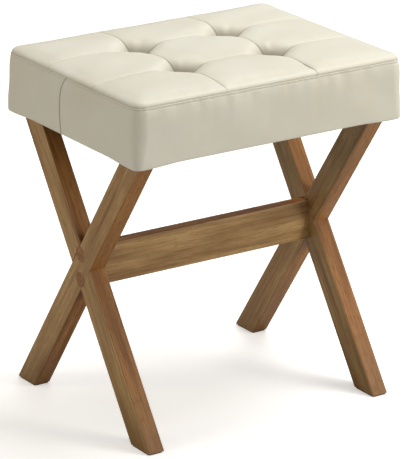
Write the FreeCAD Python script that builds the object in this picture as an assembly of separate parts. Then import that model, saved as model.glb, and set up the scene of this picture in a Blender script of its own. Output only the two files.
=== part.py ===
import FreeCAD, Part
import math
import os

# Vanity stool: a tufted box cushion on two X shaped wooden frames joined by a flat stretcher.
# X runs along the stretcher, the front is at -Y and Z points up.
# The origin is on the floor, midway between the four feet. All sizes are in millimetres.

# Frame as a whole
seat_height = 380.0  # floor to the top of the legs, where the seat rests
frame_inset = 17.5  # of each X frame, in from the end of the cushion
foot_span = 320.0  # over the two feet of one X frame, front to back

# Legs
leg_width = 35.0
leg_thickness = 24.5
leg_lean = 34.3  # degrees from the vertical
leg_edge_radius = 2.0

# Foot pads
pad_thickness = 2.0
pad_inset = 1.5
pad_corner_radius = 3.0

# Stretcher
stretcher_height = 54.0
stretcher_thickness = 18.0
stretcher_edge_radius = 1.5

# Button head bolts, used at the crossings and under the seat
bolt_diameter = 6.0
bolt_head_diameter = 11.0
bolt_head_height = 3.3
bolt_head_chamfer = 1.2
bolt_tip_chamfer = 0.6
key_width = 4.0
key_depth = 1.8
washer_diameter = 18.0
washer_thickness = 1.5
bolt_hole_clearance = 0.3  # radial, round a shank in wood or in a washer
thread_clearance = 0.05  # radial, shank to threaded bore
head_gap = 0.7  # left beyond a sunk bolt head

# Bolted joint between the stretcher and a crossing
bolt_spacing = 35.0
plug_diameter = 20.0
plug_thickness = 4.5
plug_chamfer = 0.4
plug_clearance = 0.05  # radial
insert_diameter = 10.0
insert_length = 20.0
insert_grip = 16.0  # length of bolt inside the insert
insert_drill_extra = 2.0

# Cleats under the seat, and the screws that hold them to the legs
cleat_width = 28.0
cleat_height = 15.0
cleat_edge_radius = 1.5
screw_diameter = 4.5
screw_head_diameter = 9.0
screw_head_height = 2.5
screw_bite = 14.0  # length inside the leg
screw_point = 4.0
screw_edge_distance = 8.5  # from the leg's inner edge
screw_end_distance = 9.0  # to the end of the cleat

# Bolts that hold the seat board down to the cleats
seat_bolt_spacing = 110.0  # front to back
sinking_clearance = 0.5  # radial, round a washer in its sinking
tee_nut_barrel_diameter = 8.0
tee_nut_barrel_length = 9.0
tee_nut_flange_diameter = 18.0
tee_nut_flange_thickness = 1.4

# Seat board and dust cover
board_thickness = 12.0
dust_cover_thickness = 0.5
dust_cover_inset = 10.0
dust_cover_corner_radius = 12.0

# Cushion outline
cushion_length = 413.0  # at its widest
cushion_depth = 314.0  # at its widest
cushion_side_height = 81.0  # underside to the edge seam
cushion_corner_radius = 20.0
bottom_edge_radius = 5.0
bottom_draw_in = 0.8
widest_height = 38.0
seam_draw_in = 5.5
side_fullness = 4  # how late the side turns in towards the edge seam
crown_height = 7.3
crown_reach = 90.0
crown_roundness = 5  # how soon the crown levels out

# Cover
cover_thickness = 1.0
hem_width = 45.0
welt_diameter = 3.6
welt_neck = 0.4  # cover left between the welt and the foam
band_seam_gap = 0.3
band_seam_top = 7.0  # place of the band's seam on the left end, to the back of the middle
band_seam_bottom = 17.0

# Tufts and the channels along the panel seams
tuft_spacing_length = 137.6
tuft_spacing_depth = 104.4
tuft_depth = 24.0
tuft_mouth_radius = 27.0
tuft_floor_radius = 2.0
shoulder_share = 0.75  # of a tuft's wall, taken by its upper round
channel_half_width = 11.0
channel_slope = 0.08  # of the outer flanks, up from where a channel meets the crown
channel_depth = 3.0
channel_depth_at_tuft = 6.0
flank_share = 0.35  # of the depth, reached half way to the crease
channel_lift = 0.1  # top of the flanks above the crown
channel_knee_inset = 30.0  # from the edge seam to where a channel starts to fade
channel_fade_inset = 6.0
channel_fade_depth = 0.6
tie_diameter = 1.6
tie_hole_diameter = 4.0
tie_knot_diameter = 4.8
tie_knot_height = 1.6
tuft_washer_diameter = 12.0
tuft_washer_thickness = 1.0
tuft_washer_clearance = 0.2
knot_gap = 0.3  # between the knot and the hem side of the board

# Worked out from the sizes above
lean_slope = math.tan(math.radians(leg_lean))
leg_cut = leg_width / math.cos(math.radians(leg_lean))
half_length = cushion_length / 2
half_depth = cushion_depth / 2
half_frame = half_length - frame_inset  # to the outer face of an X frame
frame_inner = half_frame - leg_thickness
half_span = foot_span / 2
cross_height = pad_thickness + (half_span - leg_cut / 2) / lean_slope
cushion_base = seat_height + dust_cover_thickness
seam_height = cushion_base + cushion_side_height
crown_top = seam_height + crown_height
board_base = cushion_base + cover_thickness
board_top = board_base + board_thickness
panel_edge = seam_height - cover_thickness  # where the top panels meet the side band
tuft_x = tuft_spacing_length / 2
tuft_y = tuft_spacing_depth / 2
bolt_radius = bolt_diameter / 2
bolt_heights = [cross_height - bolt_spacing / 2, cross_height + bolt_spacing / 2]
plug_sinking = plug_thickness + head_gap + bolt_head_height + washer_thickness
roof_height = crown_height + tuft_depth  # how far the cutters of the top stand over it
far = 2 * cushion_length  # past every face of the stool

leg_facing = {"front": 1, "back": -1}


def point(x, y, z):
    return FreeCAD.Vector(x, y, z)


def box(low, high):
    """A box from its lowest corner to its highest."""
    size = [b - a for a, b in zip(low, high)]
    return Part.makeBox(*size, point(*low))


def rod_x(radius, start, end, y, z):
    """A cylinder along X from start to end."""
    return Part.makeCylinder(radius, end - start, point(start, y, z), point(1, 0, 0))


def rod_z(radius, start, end, x, y):
    """A cylinder along Z from start to end."""
    return Part.makeCylinder(radius, end - start, point(x, y, start), point(0, 0, 1))


def ring_z(outer, inner, start, end, x, y):
    return rod_z(outer, start, end, x, y).cut(rod_z(inner, start, end, x, y))


def to_right(shape):
    """The right hand twin of a piece on the left."""
    return shape.mirror(point(0, 0, 0), point(1, 0, 0))


def rounded_rectangle(half_x, half_y, radius, z):
    """A level outline of four lines and four quarter arcs."""
    lines = []
    arcs = []
    diagonal = radius * (1 - math.sqrt(0.5))
    for turn in range(4):
        reach = half_x if turn % 2 == 0 else half_y
        side = half_y if turn % 2 == 0 else half_x
        angle = turn * 90
        ends = [point(reach, radius - side, 0), point(reach, side - radius, 0)]
        corner = [
            point(reach, side - radius, 0),
            point(reach - diagonal, side - diagonal, 0),
            point(reach - radius, side, 0),
        ]
        line = Part.makeLine(*ends)
        arc = Part.Arc(*corner).toShape()
        for edge in (line, arc):
            edge.rotate(point(0, 0, 0), point(0, 0, 1), angle)
            edge.translate(point(0, 0, z))
        lines.append(line)
        arcs.append(arc)
    return Part.Wire([edge for pair in zip(lines, arcs) for edge in pair])


def rounded_plate(half_x, half_y, radius, low, high):
    outline = rounded_rectangle(half_x, half_y, radius, low)
    return Part.Face(outline).extrude(point(0, 0, high - low))


# Legs


def leg_edges_at(z):
    """Where the outer and inner edge of a front leg are at a height, along Y."""
    outer = -half_span + lean_slope * (z - pad_thickness)
    return outer, outer + leg_cut


def leg_bar(x_low, x_high, facing):
    """A sharp edged leaning bar with level ends. Facing 1 has its foot at the front, -1 at the back."""
    foot_outer, foot_inner = leg_edges_at(pad_thickness)
    top_outer, top_inner = leg_edges_at(seat_height)
    corners = [
        point(x_low, facing * foot_outer, pad_thickness),
        point(x_low, facing * foot_inner, pad_thickness),
        point(x_low, facing * top_inner, seat_height),
        point(x_low, facing * top_outer, seat_height),
    ]
    outline = Part.makePolygon(corners + corners[:1])
    return Part.Face(outline).extrude(point(x_high - x_low, 0, 0))


def round_long_edges(bar, radius, direction):
    """Round the edges of a bar that run along a direction."""
    long_edges = []
    for edge in bar.Edges:
        along = edge.Vertexes[-1].Point - edge.Vertexes[0].Point
        if along.cross(direction).Length < 1e-6 * along.Length:
            long_edges.append(edge)
    return bar.makeFillet(radius, long_edges)


def left_leg(name):
    """One bar of the left X frame, halved over the other. The back leg keeps the outer half."""
    facing = leg_facing[name]
    middle = -half_frame + leg_thickness / 2
    bar = leg_bar(-half_frame, -frame_inner, facing)
    bar = round_long_edges(bar, leg_edge_radius, point(0, facing * lean_slope, 1))
    if name == "front":
        halving = leg_bar(-half_frame, middle, -facing)
    else:
        halving = leg_bar(middle, -frame_inner, -facing)
    bar = bar.cut(halving)
    for height in bolt_heights:
        sinking = rod_x(plug_diameter / 2, -half_frame, -half_frame + plug_sinking, 0, height)
        hole = rod_x(bolt_radius + bolt_hole_clearance, -half_frame, -frame_inner, 0, height)
        bar = bar.cut(sinking).cut(hole)
    return bar.cut(left_cleat_screw(facing))


def foot_pad(x_side, facing):
    """A thin pad under a foot, set in from its edges."""
    foot_outer, foot_inner = leg_edges_at(pad_thickness)
    half_x = leg_thickness / 2 - pad_inset
    half_y = leg_cut / 2 - pad_inset
    pad = rounded_plate(half_x, half_y, pad_corner_radius, 0, pad_thickness)
    centre_x = x_side * (half_frame - leg_thickness / 2)
    centre_y = facing * (foot_outer + foot_inner) / 2
    pad.translate(point(centre_x, centre_y, 0))
    return pad


# Stretcher and its bolted joints


def stretcher():
    """The board between the crossings, with holes for the inserts in its ends."""
    half_thick = stretcher_thickness / 2
    base = cross_height - stretcher_height / 2
    low = [-frame_inner, -half_thick, base]
    high = [frame_inner, half_thick, base + stretcher_height]
    board = round_long_edges(box(low, high), stretcher_edge_radius, point(1, 0, 0))
    hole_end = -frame_inner + insert_length + insert_drill_extra
    for height in bolt_heights:
        hole = rod_x(insert_diameter / 2, -frame_inner, hole_end, 0, height)
        board = board.cut(hole).cut(to_right(hole))
    return board


def left_inserts():
    inserts = []
    end = -frame_inner + insert_length
    for height in bolt_heights:
        body = rod_x(insert_diameter / 2, -frame_inner, end, 0, height)
        bore = rod_x(bolt_radius + thread_clearance, -frame_inner, end, 0, height)
        inserts.append(body.cut(bore))
    return Part.makeCompound(inserts)


def button_bolt(length):
    """A bolt along +Z with the underside of its head at zero."""
    head = Part.makeCylinder(bolt_head_diameter / 2, bolt_head_height, point(0, 0, -bolt_head_height))
    outer_rim = [edge for edge in head.Edges if edge.BoundBox.ZMax < -bolt_head_height / 2]
    head = head.makeChamfer(bolt_head_chamfer, outer_rim)
    shank = Part.makeCylinder(bolt_radius, length)
    tip_rim = [edge for edge in shank.Edges if edge.BoundBox.ZMin > length / 2]
    shank = shank.makeChamfer(bolt_tip_chamfer, tip_rim)
    corner_radius = key_width / math.sqrt(3)
    corners = []
    for turn in range(7):
        angle = math.radians(60 * turn)
        corners.append(point(corner_radius * math.cos(angle), corner_radius * math.sin(angle), -bolt_head_height))
    key = Part.Face(Part.makePolygon(corners)).extrude(point(0, 0, key_depth))
    return head.fuse(shank).removeSplitter().cut(key)


def left_stretcher_bolts():
    bolts = []
    seat = -half_frame + plug_sinking - washer_thickness
    length = -frame_inner + insert_grip - seat
    for height in bolt_heights:
        bolt = button_bolt(length)
        bolt.rotate(point(0, 0, 0), point(0, 1, 0), 90)
        bolt.translate(point(seat, 0, height))
        bolts.append(bolt)
    return Part.makeCompound(bolts)


def left_stretcher_washers():
    washers = []
    end = -half_frame + plug_sinking
    start = end - washer_thickness
    for height in bolt_heights:
        body = rod_x(washer_diameter / 2, start, end, 0, height)
        washers.append(body.cut(rod_x(bolt_radius + bolt_hole_clearance, start, end, 0, height)))
    return Part.makeCompound(washers)


def left_plug(height):
    """A wooden plug, flush with the outer face of the leg."""
    radius = plug_diameter / 2 - plug_clearance
    plug = rod_x(radius, -half_frame, -half_frame + plug_thickness, 0, height)
    face_rim = [edge for edge in plug.Edges if edge.BoundBox.XMax < -half_frame + plug_thickness / 2]
    return plug.makeChamfer(plug_chamfer, face_rim)


# Cleats, and what holds the seat to them

screw_height = seat_height - cleat_height / 2
screw_y = leg_edges_at(screw_height)[0] + screw_edge_distance
cleat_half_length = screw_y + screw_end_distance
cleat_middle = frame_inner - cleat_width / 2
cleat_base = seat_height - cleat_height
seat_bolt_sinking = washer_thickness + bolt_head_height + head_gap
seat_bolt_seat = cleat_base + seat_bolt_sinking


def left_cleat_screw(facing):
    """A countersunk screw from the cleat's inner face into the top of a leg."""
    face = cleat_width - frame_inner
    y = facing * screw_y
    away = point(-1, 0, 0)
    radius = screw_diameter / 2
    length = cleat_width + screw_bite
    head = Part.makeCone(screw_head_diameter / 2, radius, screw_head_height, point(face, y, screw_height), away)
    shank_length = length - screw_head_height - screw_point
    shank_start = face - screw_head_height
    shank = Part.makeCylinder(radius, shank_length, point(shank_start, y, screw_height), away)
    tip_start = shank_start - shank_length
    tip = Part.makeCone(radius, radius / 6, screw_point, point(tip_start, y, screw_height), away)
    return head.fuse([shank, tip]).removeSplitter()


def left_cleat_screws():
    return Part.makeCompound([left_cleat_screw(facing) for facing in leg_facing.values()])


def seat_bolt_places():
    """Where the left cleat's two bolts stand."""
    return [(-cleat_middle, side * seat_bolt_spacing / 2) for side in (-1, 1)]


def left_cleat():
    """The batten along the top of the left frame, with sunk holes for its bolts and screws."""
    low = [-frame_inner, -cleat_half_length, cleat_base]
    high = [cleat_width - frame_inner, cleat_half_length, seat_height]
    cleat = box(low, high)
    lower_edges = []
    for edge in cleat.Edges:
        runs_along = abs(edge.BoundBox.YLength) > cleat_half_length
        if runs_along and edge.BoundBox.ZMax < seat_height and edge.BoundBox.XMin > -frame_inner:
            lower_edges.append(edge)
    cleat = cleat.makeFillet(cleat_edge_radius, lower_edges)
    for x, y in seat_bolt_places():
        sinking = rod_z(washer_diameter / 2 + sinking_clearance, cleat_base, seat_bolt_seat, x, y)
        hole = rod_z(bolt_radius + bolt_hole_clearance, cleat_base, seat_height, x, y)
        cleat = cleat.cut(sinking).cut(hole)
    for facing in leg_facing.values():
        cleat = cleat.cut(left_cleat_screw(facing))
    return cleat


def left_seat_washers():
    washers = []
    start = seat_bolt_seat - washer_thickness
    for x, y in seat_bolt_places():
        inner = bolt_radius + bolt_hole_clearance
        washers.append(ring_z(washer_diameter / 2, inner, start, seat_bolt_seat, x, y))
    return Part.makeCompound(washers)


def left_seat_bolts():
    bolts = []
    start = seat_bolt_seat - washer_thickness
    for x, y in seat_bolt_places():
        bolt = button_bolt(board_top - start)
        bolt.translate(point(x, y, start))
        bolts.append(bolt)
    return Part.makeCompound(bolts)


def left_tee_nuts():
    """Flanged nuts let into the top of the seat board."""
    nuts = []
    bore = bolt_radius + thread_clearance
    flange_base = board_top - tee_nut_flange_thickness
    for x, y in seat_bolt_places():
        barrel = rod_z(tee_nut_barrel_diameter / 2, flange_base - tee_nut_barrel_length, board_top, x, y)
        flange = rod_z(tee_nut_flange_diameter / 2, flange_base, board_top, x, y)
        nut = barrel.fuse(flange).removeSplitter()
        nuts.append(nut.cut(rod_z(bore, board_base, board_top, x, y)))
    return Part.makeCompound(nuts)


# Cushion form. Grow is how far inside the outer skin a form lies.


def loft(outlines):
    """A solid through outlines of like edges, straight from each to the next."""
    return Part.makeLoft(outlines, True, True)


def cushion_outline(inset, z, radius_loss):
    radius = cushion_corner_radius - radius_loss
    return rounded_rectangle(half_length - inset, half_depth - inset, radius, z)


def cushion_foot(grow):
    """The rounded lower edge of the cushion, a quarter round drawn in all the way round."""
    radius = bottom_edge_radius - grow
    outlines = []
    for degrees in (0, 30, 60, 90):
        angle = math.radians(degrees)
        inset = bottom_draw_in + grow + radius * (1 - math.sin(angle))
        z = cushion_base + grow + radius * (1 - math.cos(angle))
        outlines.append(cushion_outline(inset, z, inset))
    return loft(outlines)


def side_draw_in(height):
    """How far the side lies inside its widest outline, at a height over the cushion's underside."""
    if height < widest_height:
        share = (widest_height - height) / (widest_height - bottom_edge_radius)
        return bottom_draw_in * share ** 2
    share = (height - widest_height) / (cushion_side_height - widest_height)
    return seam_draw_in * share ** side_fullness


def cushion_sides(grow):
    """The sides, fullest at the widest height and drawn in towards the edge seam."""
    lower = widest_height - bottom_edge_radius
    upper = cushion_side_height - widest_height
    heights = [bottom_edge_radius + lower * share for share in (0, 0.5)]
    heights += [widest_height + upper * share for share in (0, 0.5, 0.75, 0.9)]
    outlines = []
    for height in heights:
        inset = side_draw_in(height) + grow
        outlines.append(cushion_outline(inset, cushion_base + height, inset))
    inset = seam_draw_in + grow
    outlines.append(cushion_outline(inset, seam_height - grow, inset))
    return loft(outlines)


def crown_rise(inset):
    """Height of the crown over the edge seam, at a distance in from the seam."""
    share = min(max(inset / crown_reach, 0), 1)
    return crown_height * (1 - (1 - share) ** crown_roundness)


def cushion_crown(grow):
    outlines = []
    for share in (0, 0.05, 0.13, 0.28, 0.55, 1):
        inset = share * crown_reach
        z = seam_height - grow + crown_rise(inset)
        outlines.append(cushion_outline(seam_draw_in + grow + inset, z, seam_draw_in + grow))
    return loft(outlines)


def channel_section(along, across, level, depth, lengthwise):
    """One section of a seam channel: a crease with flanks that ease outwards and open upwards."""
    reach = channel_half_width * 2
    rise = channel_slope * channel_half_width
    profile = [
        (-reach, level + roof_height),
        (-reach, level + rise),
        (-channel_half_width, level),
        (-channel_half_width / 2, level - depth * flank_share),
        (0, level - depth),
        (channel_half_width / 2, level - depth * flank_share),
        (channel_half_width, level),
        (reach, level + rise),
        (reach, level + roof_height),
    ]
    if lengthwise:
        corners = [point(along, across + offset, z) for offset, z in profile]
    else:
        corners = [point(across + offset, along, z) for offset, z in profile]
    return Part.makePolygon(corners + corners[:1])


def channel(across, tuft_place, half_run, grow, lengthwise):
    """The cutter for one panel seam. It is deepest at the tufts and fades out before the edge seam."""
    edge = half_run - seam_draw_in
    stations = [
        (0, channel_depth),
        (tuft_place, channel_depth_at_tuft),
        (edge - channel_knee_inset, channel_depth),
        (edge - channel_fade_inset, channel_fade_depth),
    ]
    sections = []
    for place, depth in stations:
        sections.append((place, seam_height + crown_rise(edge - place) + channel_lift - grow, depth))
    end_place, end_level, end_depth = sections[-1]
    sections.append((end_place + channel_fade_inset, end_level + channel_fade_inset, end_depth))
    mirrored = [(-place, level, depth) for place, level, depth in reversed(sections[1:])]
    outlines = []
    for place, level, depth in mirrored + sections:
        outlines.append(channel_section(place, across, level, depth, lengthwise))
    return loft(outlines)


def channels(grow):
    cutters = []
    for side in (-1, 1):
        cutters.append(channel(side * tuft_y, tuft_x, half_length, grow, True))
        cutters.append(channel(side * tuft_x, tuft_y, half_depth, grow, False))
    return cutters


def tuft(x, y, grow):
    """The cutter for one tuft: a turned funnel, rounded over at its mouth and again at its floor."""
    level = crown_top + channel_lift
    width = tuft_mouth_radius - tuft_floor_radius
    height = tuft_depth + channel_lift
    rounds = (width ** 2 + height ** 2) / (2 * height)
    upper = rounds * shoulder_share
    lower = rounds - upper
    bend = math.atan2(width, rounds - height)
    profile = [point(0, 0, level - height - grow)]
    for share in (0, 0.5, 1):
        reach = lower + grow
        radius = tuft_floor_radius + reach * math.sin(bend * share)
        profile.append(point(radius, 0, level - height + lower - reach * math.cos(bend * share)))
    for share in (0.67, 0.33, 0):
        reach = upper - grow
        radius = tuft_mouth_radius - reach * math.sin(bend * share)
        profile.append(point(radius, 0, level - upper + reach * math.cos(bend * share)))
    roof = level + roof_height
    profile += [point(tuft_mouth_radius, 0, roof), point(0, 0, roof)]
    funnel = Part.Face(Part.makePolygon(profile + profile[:1])).revolve(point(0, 0, 0), point(0, 0, 1), 360)
    funnel.translate(point(x, y, 0))
    return funnel


def tuft_places():
    return [(side_x * tuft_x, side_y * tuft_y) for side_x in (-1, 1) for side_y in (-1, 1)]


def cushion_form(grow):
    body = cushion_foot(grow).fuse([cushion_sides(grow), cushion_crown(grow)])
    body = body.cut(channels(grow))
    return body.cut([tuft(x, y, grow) for x, y in tuft_places()])


# Pieces of the seat


def top_zone():
    """The space of the nine top panels: all above the edge seam, and the wells of the tufts."""
    well_x = tuft_x + tuft_mouth_radius + channel_half_width
    well_y = tuft_y + tuft_mouth_radius + channel_half_width
    above = box([-far, -far, panel_edge], [far, far, far])
    wells = box([-well_x, -well_y, board_top], [well_x, well_y, seam_height])
    return above.fuse(wells)


def edge_welt():
    """A round cord of cover along the seam, built of four straights and four quarter turns."""
    radius = welt_diameter / 2
    inset = seam_draw_in + cover_thickness - radius - welt_neck
    z = panel_edge
    half_x = half_length - inset
    half_y = half_depth - inset
    bend = cushion_corner_radius - inset
    run_x = half_x - bend
    run_y = half_y - bend
    pieces = []
    for side in (-1, 1):
        pieces.append(rod_x(radius, -run_x, run_x, side * half_y, z))
        start = point(side * half_x, -run_y, z)
        pieces.append(Part.makeCylinder(radius, 2 * run_y, start, point(0, 1, 0)))
    for quarter in range(4):
        x = run_x if quarter in (0, 3) else -run_x
        y = run_y if quarter in (0, 1) else -run_y
        turn = Part.makeTorus(bend, radius, point(0, 0, 0), point(0, 0, 1), -180, 180, 90)
        turn.rotate(point(0, 0, 0), point(0, 0, 1), 90 * quarter)
        turn.translate(point(x, y, z))
        pieces.append(turn)
    return pieces[0].fuse(pieces[1:]).removeSplitter()


def top_panels(cover):
    """The nine panels of the top, cut apart along the seams through the tufts."""
    columns = {"left": (-far, -tuft_x), "centre": (-tuft_x, tuft_x), "right": (tuft_x, far)}
    rows = {"front": (-far, -tuft_y), "middle": (-tuft_y, tuft_y), "back": (tuft_y, far)}
    panels = {}
    for row, (y_low, y_high) in rows.items():
        for column, (x_low, x_high) in columns.items():
            cell = box([x_low, y_low, 0], [x_high, y_high, far])
            panels[f"top_panel_{row}_{column}"] = cover.common(cell)
    return panels


def band_seam_slot():
    """The thin leaning slot between the two ends of the side band, on the left end."""
    half_gap = band_seam_gap / 2
    corners = [
        point(-far, band_seam_bottom - half_gap, cushion_base),
        point(-far, band_seam_bottom + half_gap, cushion_base),
        point(-far, band_seam_top + half_gap, seam_height),
        point(-far, band_seam_top - half_gap, seam_height),
    ]
    return Part.Face(Part.makePolygon(corners + corners[:1])).extrude(point(far, 0, 0))


def side_band(welt):
    """The strip round the sides, turned in under the seat as a hem."""
    open_x = half_length - hem_width
    open_y = half_depth - hem_width
    opening = box([-open_x, -open_y, cushion_base], [open_x, open_y, board_top])
    above = box([-far, -far, panel_edge], [far, far, far])
    outside = cushion_foot(0).fuse(cushion_sides(0)).cut(above)
    inside = cushion_foot(cover_thickness).fuse(cushion_sides(cover_thickness))
    return outside.cut(inside).cut(opening).cut(welt).cut(band_seam_slot())


def bored_board(board):
    """The seat board with holes for its tee nuts and for the tuft ties."""
    barrel = tee_nut_barrel_diameter / 2
    flange = tee_nut_flange_diameter / 2
    flange_base = board_top - tee_nut_flange_thickness
    for x, y in seat_bolt_places():
        for side in (1, -1):
            hole = rod_z(barrel, board_base, board_top, side * x, y)
            sinking = rod_z(flange, flange_base, board_top, side * x, y)
            board = board.cut(hole).cut(sinking)
    pocket_top = board_base + knot_gap + tie_knot_height + tuft_washer_thickness
    for x, y in tuft_places():
        hole = rod_z(tie_hole_diameter / 2, board_base, board_top, x, y)
        pocket = rod_z(tuft_washer_diameter / 2 + tuft_washer_clearance, board_base, pocket_top, x, y)
        board = board.cut(hole).cut(pocket)
    return board


def bored_foam(foam):
    for x, y in tuft_places():
        foam = foam.cut(rod_z(tie_diameter / 2, board_top, crown_top, x, y))
    return foam


def tuft_ties():
    """Twine from the floor of each tuft down to a knot under the seat board."""
    ties = []
    knot_base = board_base + knot_gap
    tie_top = crown_top - tuft_depth - cover_thickness
    for x, y in tuft_places():
        twine = rod_z(tie_diameter / 2, knot_base, tie_top, x, y)
        knot = rod_z(tie_knot_diameter / 2, knot_base, knot_base + tie_knot_height, x, y)
        ties.append(twine.fuse(knot).removeSplitter())
    return Part.makeCompound(ties)


def tuft_washers():
    washers = []
    start = board_base + knot_gap + tie_knot_height
    end = start + tuft_washer_thickness
    for x, y in tuft_places():
        washers.append(ring_z(tuft_washer_diameter / 2, tie_diameter / 2, start, end, x, y))
    return Part.makeCompound(washers)


def dust_cover():
    """A thin sheet under the seat, over the hem, pierced for the seat bolts."""
    half_x = half_length - dust_cover_inset
    half_y = half_depth - dust_cover_inset
    sheet = rounded_plate(half_x, half_y, dust_cover_corner_radius, seat_height, cushion_base)
    for x, y in seat_bolt_places():
        for side in (1, -1):
            radius = bolt_radius + bolt_hole_clearance
            sheet = sheet.cut(rod_z(radius, seat_height, cushion_base, side * x, y))
    return sheet


def frame_pieces():
    """Both X frames, the stretcher between them, and all that joins them."""
    pieces = {"stretcher": stretcher()}
    left_pieces = {
        "left_leg_front": left_leg("front"),
        "left_leg_back": left_leg("back"),
        "left_plug_lower": left_plug(bolt_heights[0]),
        "left_plug_upper": left_plug(bolt_heights[1]),
        "left_stretcher_bolts": left_stretcher_bolts(),
        "left_stretcher_washers": left_stretcher_washers(),
        "left_stretcher_inserts": left_inserts(),
        "left_cleat": left_cleat(),
        "left_cleat_screws": left_cleat_screws(),
        "left_seat_bolts": left_seat_bolts(),
        "left_seat_washers": left_seat_washers(),
        "left_tee_nuts": left_tee_nuts(),
    }
    for name, shape in left_pieces.items():
        pieces[name] = shape
        pieces[name.replace("left", "right")] = to_right(shape)
    for end, facing in leg_facing.items():
        pieces[f"left_foot_pad_{end}"] = foot_pad(-1, facing)
        pieces[f"right_foot_pad_{end}"] = foot_pad(1, facing)
    return pieces


def seat_pieces():
    """Everything above the legs. The board and the foam fill the cover that is wrapped round them."""
    outside = cushion_form(0)
    inside = cushion_form(cover_thickness)
    under_foam = box([-far, -far, 0], [far, far, board_top])
    welt = edge_welt()
    top_cover = outside.cut(inside).common(top_zone()).cut(welt)
    pieces = {
        "seat_board": bored_board(inside.common(under_foam)),
        "foam_pad": bored_foam(inside.cut(under_foam)),
        "side_band": side_band(welt),
        "edge_welt": welt,
        "tuft_ties": tuft_ties(),
        "tuft_washers": tuft_washers(),
        "dust_cover": dust_cover(),
    }
    pieces.update(top_panels(top_cover))
    return pieces


def main():
    os.makedirs("parts", exist_ok=True)
    pieces = {**frame_pieces(), **seat_pieces()}
    for name, shape in pieces.items():
        shape.exportStep(f"parts/{name}.step")
        sound = shape.isValid() and all(solid.isClosed() for solid in shape.Solids)
        print(f"{name}: {len(shape.Solids)} solid, {shape.Volume / 1000:.2f} cm3, sound {sound}")


main()
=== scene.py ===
import math

import bpy
import numpy as np
from mathutils import Matrix, Vector
from mathutils.kdtree import KDTree


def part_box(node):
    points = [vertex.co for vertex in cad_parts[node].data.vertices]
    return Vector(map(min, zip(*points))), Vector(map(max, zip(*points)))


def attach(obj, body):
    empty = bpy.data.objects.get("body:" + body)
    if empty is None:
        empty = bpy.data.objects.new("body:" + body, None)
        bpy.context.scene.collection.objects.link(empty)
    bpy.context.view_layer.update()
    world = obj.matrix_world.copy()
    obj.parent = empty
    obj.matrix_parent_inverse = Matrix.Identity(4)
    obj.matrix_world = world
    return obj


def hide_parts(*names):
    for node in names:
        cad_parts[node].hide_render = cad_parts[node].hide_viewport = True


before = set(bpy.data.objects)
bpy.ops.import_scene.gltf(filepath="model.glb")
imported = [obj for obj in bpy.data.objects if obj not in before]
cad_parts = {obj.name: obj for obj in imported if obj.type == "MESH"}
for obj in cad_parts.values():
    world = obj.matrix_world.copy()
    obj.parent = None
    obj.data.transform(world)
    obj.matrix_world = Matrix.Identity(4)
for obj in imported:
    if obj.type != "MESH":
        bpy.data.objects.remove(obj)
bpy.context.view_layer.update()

bl_info = {
    "name": "Vanity Stool",
    "version": (1, 0, 0),
    "blender": (4, 5, 0),
    "location": "3D View > Sidebar > Vanity Stool",
    "description": "Upholstery, timber finish and studio for a tufted vanity stool",
    "category": "Add Mesh",
}

MM = 0.001
TINY = 1e-9  # keeps a division from failing
BODY = "root"

# Places read from the frame
BAND_LOW, BAND_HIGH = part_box("side_band")
WELT_LOW, WELT_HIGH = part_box("edge_welt")
DUST_LOW, DUST_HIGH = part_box("dust_cover")
CLEAT_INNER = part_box("right_cleat")[0].x
BOARD_HALF_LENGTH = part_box("seat_board")[1].x
TUFT_X, TUFT_Y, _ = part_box("top_panel_middle_centre")[1]

CUSHION_BASE = BAND_LOW.z
CUSHION_HALF_LENGTH = BAND_HIGH.x
CUSHION_HALF_DEPTH = BAND_HIGH.y
SEAM_HEIGHT = (WELT_LOW.z + WELT_HIGH.z) / 2
BOARD_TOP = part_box("seat_board")[1].z - CUSHION_BASE


# Settings that a user would change


def amount(name, description, default, **options):
    return bpy.props.FloatProperty(name=name, description=description, default=default, **options)


def length(name, description, millimetres):
    return amount(name, description, millimetres * MM, unit="LENGTH", precision=4)


def wattage(name, description, watts):
    return amount(name, description, watts, subtype="POWER")


def swatch(name, description, default):
    return bpy.props.FloatVectorProperty(
        name=name, description=description, default=default, subtype="COLOR", size=3)


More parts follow.
